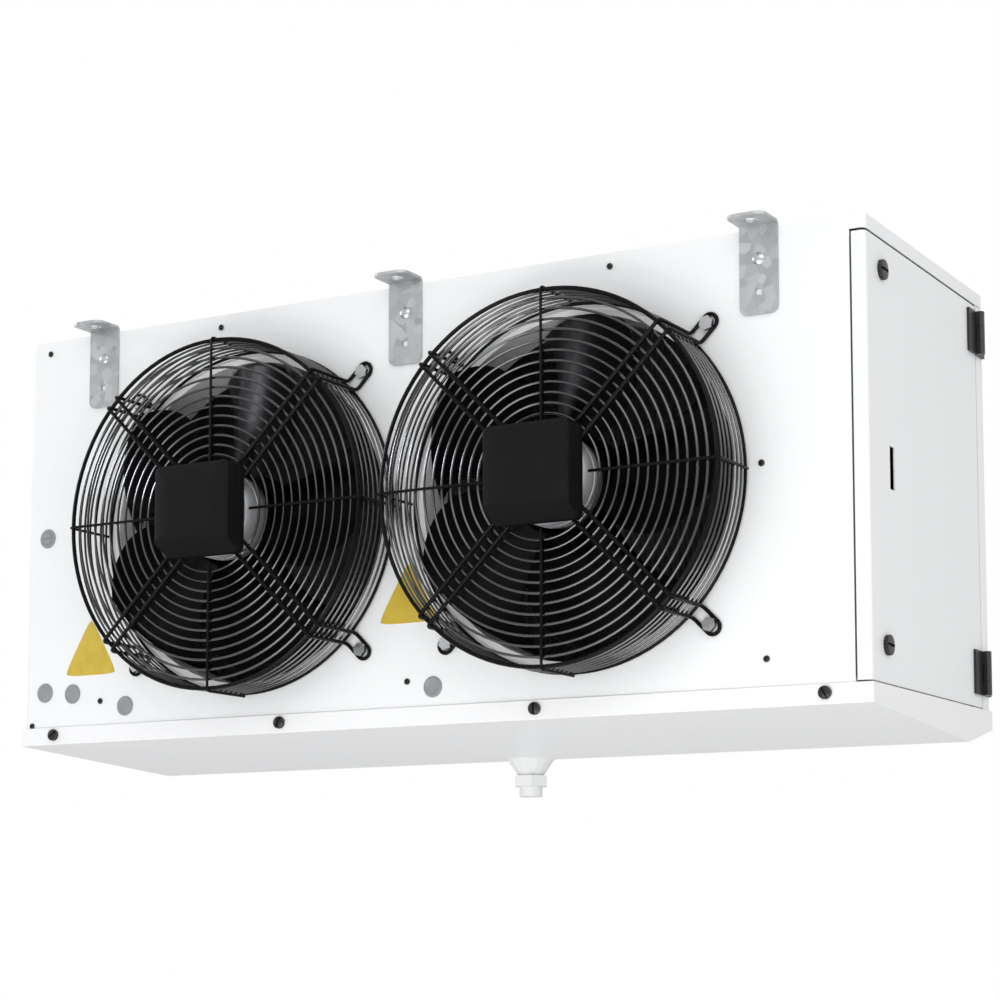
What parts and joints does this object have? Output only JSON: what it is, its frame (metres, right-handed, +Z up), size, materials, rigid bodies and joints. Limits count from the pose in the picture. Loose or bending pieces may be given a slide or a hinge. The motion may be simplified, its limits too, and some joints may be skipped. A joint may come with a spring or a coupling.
{
  "type": "unit cooler",
  "caption": "Ceiling-hung unit cooler with axial fans behind wire basket guards, finned coil, hinged service door and hinged drip tray with a drain.",
  "frame": {"origin": "centre of the ceiling bolt pattern, in the plane of the hanger flanges' upper faces", "axes": "+Z up to the ceiling; -Y the way the fans face; +X to the right as seen from in front, towards the service door"},
  "size_m": [1.0326, 0.485, 0.53],
  "materials": {
    "white_paint": "satin white powder coat",
    "black_wire": "gloss black coating on wire",
    "black_blade": "gloss black enamel on sheet blades",
    "black_plastic": "matte black moulding",
    "stator_metal": "cast, satin",
    "galvanised": "spangled zinc",
    "bare_fins": "thin bare fins",
    "copper_tube": "drawn copper, slightly dulled",
    "grey_plastic": "matte grey moulding",
    "white_plastic": "matte white moulding",
    "black_screw": "blackened steel",
    "bright_screw": "zinc-plated"
  },
  "bodies": {
    "casing": {"top_panel": "white_paint", "fan_panel": "white_paint", "left_end_panel": "white_paint", "rear_frame": "white_paint", "base_frame": "white_paint", "divider_plate": "galvanised", "tube_sheet_left": "galvanised", "tube_sheet_right": "galvanised", "front_hangers": "galvanised", "rear_hangers": "galvanised", "latch_brackets": "galvanised", "tray_hinge_brackets": "galvanised", "fin_pack": "bare_fins", "left_bends": "copper_tube", "right_bends": "copper_tube", "suction_header": "copper_tube", "liquid_line": "copper_tube", "blanking_plugs": "grey_plastic", "terminal_box": "grey_plastic", "guard_rings_left": "black_wire", "guard_arms_left": "black_wire", "guard_screws_left": "bright_screw", "stator_left": "stator_metal", "motor_box_left": "black_plastic", "guard_rings_right": "black_wire", "guard_arms_right": "black_wire", "guard_screws_right": "bright_screw", "stator_right": "stator_metal", "motor_box_right": "black_plastic", "frame_hinge_leaves": "black_plastic"},
    "fan_rotor_left": {"rotor_can_left": "black_blade", "impeller_left": "black_blade"},
    "fan_rotor_right": {"rotor_can_right": "black_blade", "impeller_right": "black_blade"},
    "right_door": {"door_panel": "white_paint", "door_hinge_leaves": "black_plastic"},
    "latch_upper": {"latch_upper": "black_plastic"},
    "latch_lower": {"latch_lower": "black_plastic"},
    "drip_tray": {"drip_tray": "white_paint", "drain_spigot": "white_plastic", "drain_nut": "white_plastic", "tray_screws": "black_screw", "tray_hinge_leaves": "galvanised"}
  },
  "joints": [
    {"name": "fan_left_spin", "type": "hinge", "parent": "casing", "child": "fan_rotor_left", "pos_m": [-0.2, -0.17, -0.241], "axis": [0, -1, 0], "continuous": true},
    {"name": "fan_right_spin", "type": "hinge", "parent": "casing", "child": "fan_rotor_right", "pos_m": [0.2, -0.17, -0.241], "axis": [0, -1, 0], "continuous": true},
    {"name": "door_swing", "type": "hinge", "parent": "casing", "child": "right_door", "pos_m": [0.5155, 0.149, -0.241], "axis": [0, 0, 1], "range_deg": [0, 110]},
    {"name": "latch_upper_turn", "type": "hinge", "parent": "right_door", "child": "latch_upper", "pos_m": [0.51, -0.129, -0.052], "axis": [1, 0, 0], "range_deg": [0, 90]},
    {"name": "latch_lower_turn", "type": "hinge", "parent": "right_door", "child": "latch_lower", "pos_m": [0.51, -0.129, -0.414], "axis": [1, 0, 0], "range_deg": [0, 90]},
    {"name": "tray_drop", "type": "hinge", "parent": "casing", "child": "drip_tray", "pos_m": [0, 0.176, -0.449], "axis": [1, 0, 0], "range_deg": [0, 70]}
  ]
}
